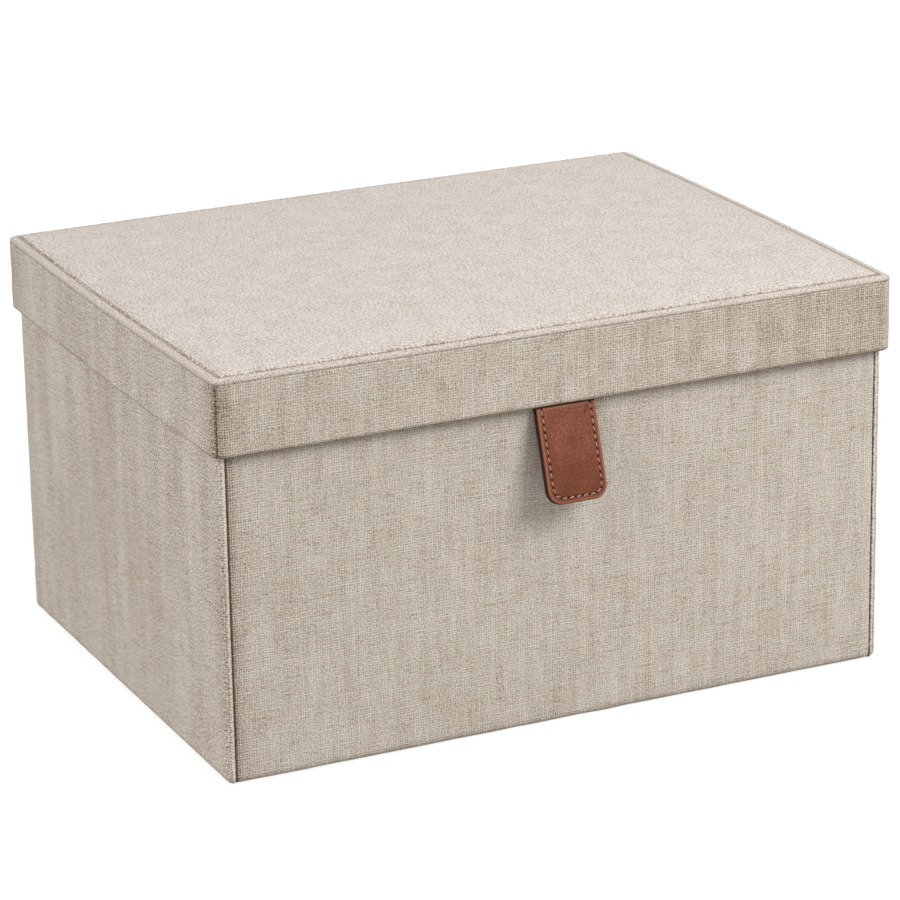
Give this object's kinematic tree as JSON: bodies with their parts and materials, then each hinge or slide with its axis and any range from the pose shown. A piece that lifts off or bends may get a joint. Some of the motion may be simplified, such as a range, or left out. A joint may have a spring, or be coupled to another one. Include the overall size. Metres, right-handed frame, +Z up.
{
  "type": "storage box with lift-off lid",
  "caption": "Rectangular fabric-covered board box with an overhanging lift-off lid, a softly padded top and a stitched leather pull tab at the front.",
  "frame": {"origin": "centre of the base's flat underside, on the surface that the box stands on", "axes": "+X to the right along the long side, -Y to the front where the pull tab hangs, +Z up"},
  "size_m": [0.4012, 0.3274, 0.2273],
  "materials": {
    "linen": "matt slubby linen weave",
    "lining": "smooth cotton",
    "board": "grey board",
    "wadding": "soft polyester wadding",
    "leather": "smooth waxed grain",
    "leather_edge": "painted edge",
    "thread": "waxed thread",
    "seam_thread": "matt sewing thread"
  },
  "bodies": {
    "box": {"front_board": "board", "back_board": "board", "left_board": "board", "right_board": "board", "bottom_board": "board", "front_cover": "linen", "back_cover": "linen", "left_cover": "linen", "right_cover": "linen", "base_cover": "linen", "front_lining": "lining", "back_lining": "lining", "left_lining": "lining", "right_lining": "lining", "floor_lining": "lining", "body_seam_threads": "seam_thread"},
    "lid": {"lid_board": "board", "lid_front_board": "board", "lid_back_board": "board", "lid_left_board": "board", "lid_right_board": "board", "lid_front_cover": "linen", "lid_back_cover": "linen", "lid_left_cover": "linen", "lid_right_cover": "linen", "lid_top_lining": "lining", "lid_front_lining": "lining", "lid_back_lining": "lining", "lid_left_lining": "lining", "lid_right_lining": "lining", "lid_edge_band": "linen", "lid_wadding": "wadding", "lid_top_cover": "linen", "lid_seam_threads": "seam_thread", "tab_root": "leather"},
    "tab": {"tab_front_leather": "leather", "tab_filler": "leather_edge", "tab_back_leather": "leather", "tab_stitching": "thread"}
  },
  "joints": [
    {"name": "lid_lift", "type": "slide", "parent": "box", "child": "lid", "axis": [0, 0, 1], "range_m": [0, 0.15]},
    {"name": "tab_flex", "type": "hinge", "parent": "lid", "child": "tab", "pos_m": [0, -0.1528, 0.1798], "axis": [-1, 0, 0], "range_deg": [-17, 70], "stiffness_Nm_per_rad": 0.02, "springref_deg": 1.89}
  ]
}
